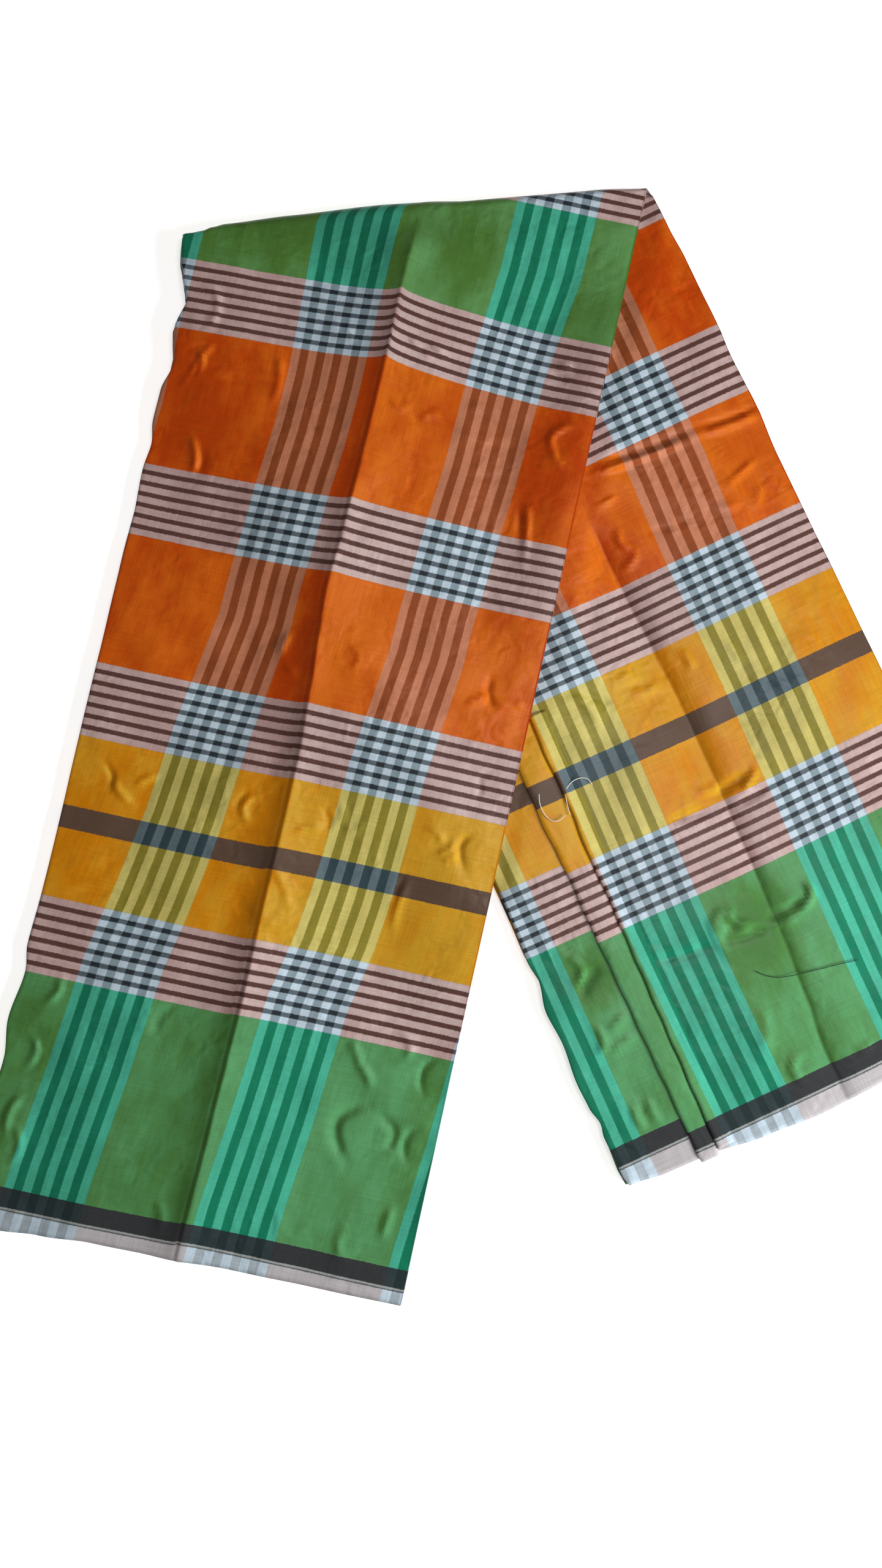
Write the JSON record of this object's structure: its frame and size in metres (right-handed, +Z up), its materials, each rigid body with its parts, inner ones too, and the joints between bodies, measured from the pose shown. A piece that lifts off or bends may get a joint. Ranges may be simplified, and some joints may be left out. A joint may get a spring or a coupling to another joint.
{
  "type": "longyi sarong",
  "caption": "Checked cotton tube skirt, folded lengthwise into a long flat strip and turned over on a slanting fold, lying flat with its hems and side seam showing.",
  "frame": {"origin": "on the surface that the cloth rests on, under the middle of its bounding box", "axes": "+Z up from the surface; +Y towards the slanting fold; +X towards the limb that lies beneath"},
  "size_m": [0.5914, 0.6282, 0.0125],
  "materials": {
    "checked_cotton": "plain-woven checked cotton, calendered, softly glossy",
    "inner_layers": "edges of the same checked cotton",
    "seam_cotton": "felled seam of the same checked cotton"
  },
  "bodies": {
    "root": {"over_panel": "checked_cotton", "over_layers": "inner_layers", "fold_wall": "checked_cotton", "fold_layers": "inner_layers", "under_panel": "checked_cotton", "under_layers": "inner_layers", "side_seam": "seam_cotton"}
  },
  "joints": []
}
